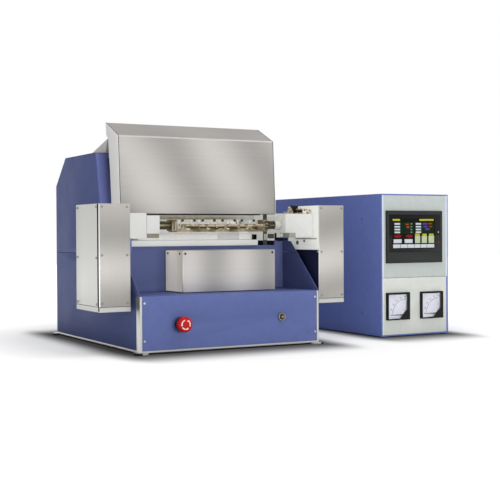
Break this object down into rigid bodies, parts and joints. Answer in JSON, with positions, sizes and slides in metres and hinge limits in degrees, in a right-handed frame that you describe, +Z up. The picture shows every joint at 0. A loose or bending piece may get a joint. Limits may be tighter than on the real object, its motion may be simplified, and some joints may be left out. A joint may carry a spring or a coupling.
{
  "type": "laboratory bead fusion furnace",
  "caption": "Bench furnace that fuses glass beads: a blue cased oven under a steel hood, a tilting crucible cradle on two sliding arms, and a control cabinet beside it.",
  "frame": {"origin": "on the surface it stands on, in the middle of the box round the furnace and its cabinet", "axes": "+X to the right seen from the front, +Y to the back, +Z up"},
  "size_m": [1.096, 0.682, 0.6],
  "materials": {
    "blue_paint": "satin blue powder coat with a fine texture",
    "silver_trim": "satin silver trim",
    "stainless": "brushed stainless sheet, grain up and down",
    "light_paint": "light grey powder coat",
    "white_ceramic": "matt white refractory and insulating board",
    "steel": "plain machined steel",
    "heat_tinted": "heat-tinted alloy, straw and brown",
    "brass": "satin brass",
    "black_plastic": "satin black moulding",
    "screen_plastic": "dark grey moulding",
    "red_plastic": "red gloss moulding",
    "copper": "varnished copper winding on a steel core",
    "element_rod": "dark grey silicon carbide rod"
  },
  "bodies": {
    "root": {"base_frame": "silver_trim", "lower_front_panel": "blue_paint", "left_lower_side_panel": "blue_paint", "right_lower_side_panel": "blue_paint", "left_upper_side_panel": "blue_paint", "right_upper_side_panel": "blue_paint", "recessed_wall": "blue_paint", "drive_cover": "stainless", "tower_top": "blue_paint", "tower_front_panel": "blue_paint", "rear_cover": "blue_paint", "roof_wedge": "stainless", "hood_front": "stainless", "hood_left_end": "stainless", "hood_right_end": "stainless", "deck_board": "white_ceramic", "hearth_tray": "steel", "hearth_block": "white_ceramic", "chamber_walls": "white_ceramic", "chamber_roof": "white_ceramic", "front_heating_element": "element_rod", "rear_heating_element": "element_rod", "arm_actuator": "steel", "left_rail": "steel", "right_rail": "steel", "door_guide_frame": "steel", "door_actuator": "steel", "estop_collar": "black_plastic", "button_bezel": "stainless", "cabinet_shell": "blue_paint", "cabinet_upper_panel": "light_paint", "cabinet_lower_panel": "light_paint", "cabinet_rear_panel": "light_paint", "screen_body": "screen_plastic", "left_meter": "black_plastic", "right_meter": "black_plastic", "transformer": "copper", "power_controller": "steel"},
    "carriage": {"carriage_yoke": "steel", "drive_rod": "steel", "left_arm_housing": "stainless", "right_arm_housing": "stainless", "left_arm_front_cover": "stainless", "right_arm_front_cover": "stainless", "left_arm_side_cover": "silver_trim", "right_arm_side_cover": "silver_trim", "left_bearing_block": "white_ceramic", "right_bearing_block": "white_ceramic", "position_sensor": "brass", "tilt_motor": "black_plastic"},
    "cradle": {"cradle_frame": "heat_tinted", "left_cradle_shaft": "heat_tinted", "right_cradle_shaft": "heat_tinted"},
    "door": {"furnace_door": "white_ceramic"},
    "stop_plunger": {"estop_stem": "steel"},
    "stop_head": {"estop_head": "red_plastic"},
    "button": {"power_button": "brass"},
    "left_needle": {"left_meter_needle": "black_plastic"},
    "right_needle": {"right_meter_needle": "black_plastic"},
    "fan": {"fan_rotor": "black_plastic"}
  },
  "joints": [
    {"name": "arm_slide", "type": "slide", "parent": "root", "child": "carriage", "axis": [0, 1, 0], "range_m": [0, 0.22]},
    {"name": "cradle_tilt", "type": "hinge", "parent": "carriage", "child": "cradle", "pos_m": [-0.19, -0.227, 0.321], "axis": [1, 0, 0], "range_deg": [-30, 110]},
    {"name": "door_lift", "type": "slide", "parent": "root", "child": "door", "axis": [0, 0, 1], "range_m": [-0.038, 0.045]},
    {"name": "estop_press", "type": "slide", "parent": "root", "child": "stop_plunger", "axis": [0, 1, 0], "range_m": [0, 0.005]},
    {"name": "estop_twist", "type": "hinge", "parent": "stop_plunger", "child": "stop_head", "pos_m": [-0.3406, -0.332, 0.073], "axis": [0, 1, 0], "range_deg": [0, 45]},
    {"name": "button_press", "type": "slide", "parent": "root", "child": "button", "axis": [0, 1, 0], "range_m": [0, 0.002], "stiffness_N_per_m": 400, "springref_m": -0.002},
    {"name": "left_needle_turn", "type": "hinge", "parent": "root", "child": "left_needle", "pos_m": [0.387, -0.279, 0.063], "axis": [0, 1, 0], "range_deg": [0, 90], "stiffness_Nm_per_rad": 0.0002},
    {"name": "right_needle_turn", "type": "hinge", "parent": "root", "child": "right_needle", "pos_m": [0.508, -0.279, 0.063], "axis": [0, 1, 0], "range_deg": [0, 90], "stiffness_Nm_per_rad": 0.0002},
    {"name": "fan_spin", "type": "hinge", "parent": "root", "child": "fan", "pos_m": [0.4275, 0.304, 0.3], "axis": [0, 1, 0], "continuous": true}
  ]
}
